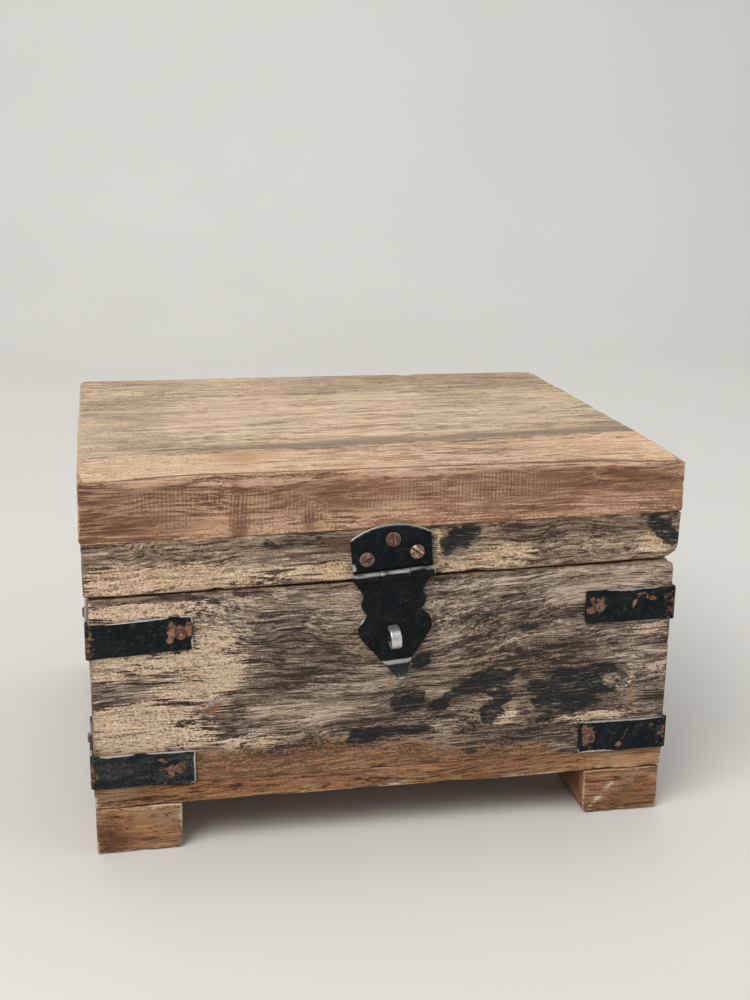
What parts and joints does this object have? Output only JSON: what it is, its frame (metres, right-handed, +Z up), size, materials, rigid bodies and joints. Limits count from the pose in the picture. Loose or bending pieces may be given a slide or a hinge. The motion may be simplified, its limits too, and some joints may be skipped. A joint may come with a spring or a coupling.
{
  "type": "wooden box",
  "caption": "Small footed storage box of reclaimed wood with a thick hinged lid, iron corner straps and a hasp that closes over a staple.",
  "frame": {"origin": "on the surface that the feet stand on, under the middle of the whole part's bounding box", "axes": "+X to the right as seen from the hasp side, +Y to the back where the lid hinges are, +Z up"},
  "size_m": [0.2548, 0.2338, 0.163],
  "materials": {
    "top_wood": "weathered, waxed",
    "wall_wood": "weathered, cracked, with paint remains",
    "base_wood": "worn, waxed",
    "strap_iron": "worn black paint over iron",
    "hasp_iron": "satin black",
    "rusty_iron": "rusty",
    "rusty_screw": "rusty, copper brown",
    "bright_steel": "zinc plated"
  },
  "bodies": {
    "box": {"front_board": "wall_wood", "back_board": "wall_wood", "left_board": "wall_wood", "right_board": "wall_wood", "bottom_board": "base_wood", "front_left_foot": "base_wood", "front_right_foot": "base_wood", "back_left_foot": "base_wood", "back_right_foot": "base_wood", "front_left_strap_upper": "strap_iron", "front_right_strap_upper": "strap_iron", "back_left_strap_upper": "strap_iron", "back_right_strap_upper": "strap_iron", "front_left_strap_lower": "strap_iron", "front_right_strap_lower": "strap_iron", "back_left_strap_lower": "strap_iron", "back_right_strap_lower": "strap_iron", "strap_nails": "rusty_iron", "bottom_nails": "rusty_iron", "foot_nails": "rusty_iron", "staple": "bright_steel", "left_hinge_box_leaf": "hasp_iron", "left_hinge_pin": "hasp_iron", "right_hinge_box_leaf": "hasp_iron", "right_hinge_pin": "hasp_iron", "box_hinge_screws": "rusty_screw"},
    "lid": {"top_plank_front": "top_wood", "top_plank_middle": "top_wood", "top_plank_back": "top_wood", "lid_front_rail": "wall_wood", "lid_back_rail": "wall_wood", "lid_left_rail": "wall_wood", "lid_right_rail": "wall_wood", "hasp_plate": "hasp_iron", "hasp_pin": "hasp_iron", "hasp_screws": "rusty_screw", "left_hinge_lid_leaf": "hasp_iron", "right_hinge_lid_leaf": "hasp_iron", "lid_hinge_screws": "rusty_screw"},
    "hasp": {"hasp_leaf": "hasp_iron"}
  },
  "joints": [
    {"name": "lid_hinge", "type": "hinge", "parent": "box", "child": "lid", "pos_m": [0, 0.11445, 0.116], "axis": [-0.9997, 0, -0.024], "range_deg": [0, 105]},
    {"name": "hasp_hinge", "type": "hinge", "parent": "lid", "child": "hasp", "pos_m": [0.0002, -0.1108, 0.1185], "axis": [-0.9966, 0, -0.0819], "range_deg": [0, 170]}
  ]
}
